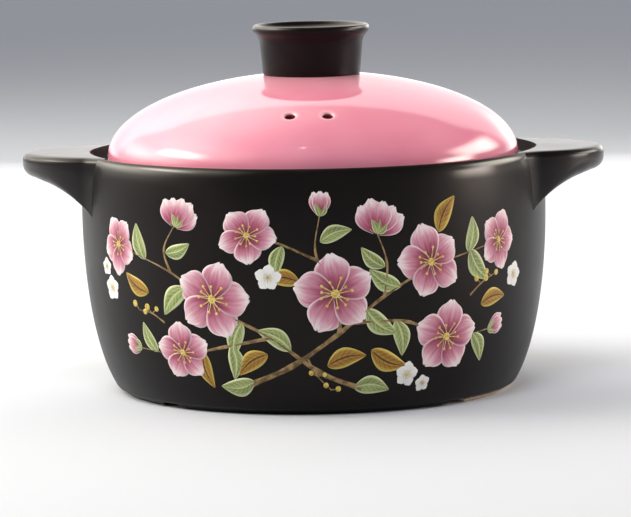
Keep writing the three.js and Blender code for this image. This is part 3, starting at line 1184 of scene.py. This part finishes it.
decorFinishes = {
    "pinkPetals": petalEnamel("pinkPetalEnamel", pinkPetalLook),
    "whitePetals": petalEnamel("whitePetalEnamel", whitePetalLook),
    "blossomHearts": strokeEnamel("heartEnamel", heartLook),
    "greenLeaves": leafEnamel("greenLeafEnamel", greenLeafLook),
    "goldLeaves": leafEnamel("goldLeafEnamel", goldLeafLook),
    "twigs": strokeEnamel("twigEnamel", twigLook),
    "berries": strokeEnamel("berryEnamel", berryLook),
}
print("glazes and enamels mixed")


def finishPiece(piece, material, body, node=None):
    piece.data.materials.clear()
    piece.data.materials.append(material)
    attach(piece, body)
    if node:
        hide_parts(node)


finishPiece(potBody, blackGlaze, "pot", "pot_body")
for node, arcPiece in feet.items():
    finishPiece(arcPiece, bareFootGlaze if node == "foot_right" else footGlaze, "pot", node)
finishPiece(handleRight, handleGlaze, "pot", "handle_right")
finishPiece(handleLeft, handleGlaze, "pot", "handle_left")
finishPiece(lidDome, pinkGlaze, "lid", "lid_dome")
finishPiece(lidKnob, knobGlaze, "lid", "lid_knob")
for name, piece in decorPieces.items():
    finishPiece(piece, decorFinishes[name], "pot")


# Floor, lamps and camera

stageLook = {
    "floorSize": 16.0,
    "floorColour": (0.62, 0.647, 0.717),
    "floorRoughness": 0.9,
    "floorGloss": 0.1,
    "horizon": (0.60, 0.60, 0.61),
    "overhead": (0.05, 0.05, 0.053),
    "horizonEnd": (0.02, 0.14),
}
clearSelection()
bpy.ops.mesh.primitive_plane_add(size=stageLook["floorSize"])
floor = nameIt("floor")
floorPaint, tree, shader = newFinish("paleFloor")
feed(shader, {"Base Color": stageLook["floorColour"], "Roughness": stageLook["floorRoughness"],
              "Specular IOR Level": stageLook["floorGloss"]})
floor.data.materials.append(floorPaint)

# A dim studio, pale only along the horizon
world = bpy.data.worlds.new("studio")
bpy.context.scene.world = world
world.use_nodes = True
worldTree = world.node_tree
skyward = splitUp(addNode(worldTree, "TexCoord").outputs["Generated"])[2]
skyRise = spread(skyward, *stageLook["horizonEnd"])
sky = mixColour(skyRise, stageLook["horizon"], stageLook["overhead"])
feed(worldTree.nodes["Background"], {"Color": sky})


def facing(place, target):
    return (Vector(target) - Vector(place)).to_track_quat("-Z", "Y").to_euler()


# A panel lamp of a given brightness that fades towards its edges over a share of its size
def softbox(name, place, target, size, radiance, fade, tint=(1, 1, 1)):
    bpy.ops.object.light_add(type="AREA", location=place)
    lamp = bpy.context.object
    lamp.name = lamp.data.name = name
    lamp.data.shape = "RECTANGLE"
    lamp.data.size, lamp.data.size_y = size
    lamp.data.energy = radiance * pi * size[0] * size[1]
    lamp.data.color = tint
    lamp.rotation_euler = facing(place, target)
    lamp.visible_camera = False
    lamp.data.use_nodes = True
    tree = lamp.data.node_tree
    panel = splitUp(addNode(tree, "NewGeometry").outputs["Parametric"])
    glow = 1.0
    for axis in range(2):
        away = sums("ABSOLUTE", sums("SUBTRACT", panel[axis], 0.5))
        glow = times(spread(away, 0.5, 0.5 - fade), glow)
    feed(tree.nodes["Emission"], {"Strength": glow})
    return lamp


# A place at a compass angle from the front (0) to the right (90), a height angle and a distance from the pot
def around(angle, rise, distance):
    a, e = radians(angle), radians(rise)
    away = Vector((sin(a) * cos(e), -cos(a) * cos(e), sin(e))) * distance
    return away + Vector(potMiddle)


potMiddle = (0, 0, 0.1)
lamps = {  # angle, rise, distance, size, brightness, fade, tint
    "leftBox": (-127, 47, 1.4, (3.0, 2.2), 2.65, 0.5, (1, 0.945, 0.80)),
    "leftGlow": (-80, 38, 1.35, (2.5, 1.4), 3.3, 0.5, (1, 0.945, 0.80)),
    "leftCore": (-83, 30, 1.28, (1.05, 0.46), 15.0, 0.5, (1, 0.945, 0.83)),
    "leftLow": (-106, 17, 1.6, (2.9, 0.95), 5.0, 0.5, (1, 0.94, 0.82)),
    "rightBox": (108, 21, 1.3, (1.3, 0.6), 8.0, 0.35, (1, 0.925, 0.80)),
    "rightLow": (86, 6, 1.3, (0.8, 0.5), 12.0, 0.4, (1, 0.88, 0.78)),
    "rightRim": (153, 9, 1.35, (0.7, 0.7), 3.1, 0.5, (1, 0.93, 0.81)),
    "sparkStrip": (-8, 64, 1.5, (0.05, 0.012), 60.0, 0.05),
}
softbox("backBox", (0, 1.25, 0.80), (0, 0, 0.80), (2.6, 1.6), 1.35, 0.12, (1, 0.975, 0.955))
for name, (angle, rise, distance, *panel) in lamps.items():
    softbox(name, around(angle, rise, distance), potMiddle, *panel)
farFill = softbox("farFill", (0, 4.5, 2.5), (0, 4.5, 0), (8.0, 5.0), 0.28, 0.5)
farFill.visible_glossy = False

topLight = {"energy": 1.3, "spread": 30, "from": (-12, 52, 1)}
bpy.ops.object.light_add(type="SUN")
sun = bpy.context.object
sun.name = sun.data.name = "topLight"
sun.data.energy = topLight["energy"]
sun.data.angle = radians(topLight["spread"])
sun.rotation_euler = facing(around(*topLight["from"]), potMiddle)
sun.visible_glossy = False

view = {"distance": 2.0, "height": 0.2976, "turn": 1.2, "aside": 0.0004, "pitch": 6.671, "roll": 0.959,
        "focalPixels": 4045, "pictureWidth": 631, "sensor": 36, "farthest": 100}
turn, pitch, roll = (radians(view[key]) for key in ("turn", "pitch", "roll"))
rightWay = Vector((cos(turn), sin(turn), 0))
level = Vector((-sin(turn), cos(turn), 0))
forward = level * cos(pitch) - Vector((0, 0, sin(pitch)))
upWay = rightWay.cross(forward)
across = rightWay * cos(roll) - upWay * sin(roll)
upright = rightWay * sin(roll) + upWay * cos(roll)
bpy.ops.object.camera_add()
camera = bpy.context.object
camera.name = camera.data.name = "photoCamera"
camera.matrix_world = Matrix((across, upright, -forward)).transposed().to_4x4()
camera.location = rightWay * view["aside"] - level * view["distance"] + Vector((0, 0, view["height"]))
camera.data.sensor_width = view["sensor"]
camera.data.lens = view["sensor"] * view["focalPixels"] / view["pictureWidth"]
camera.data.clip_end = view["farthest"]
bpy.context.scene.camera = camera
bpy.context.scene.view_settings.view_transform = "Standard"
print("stage and camera set")
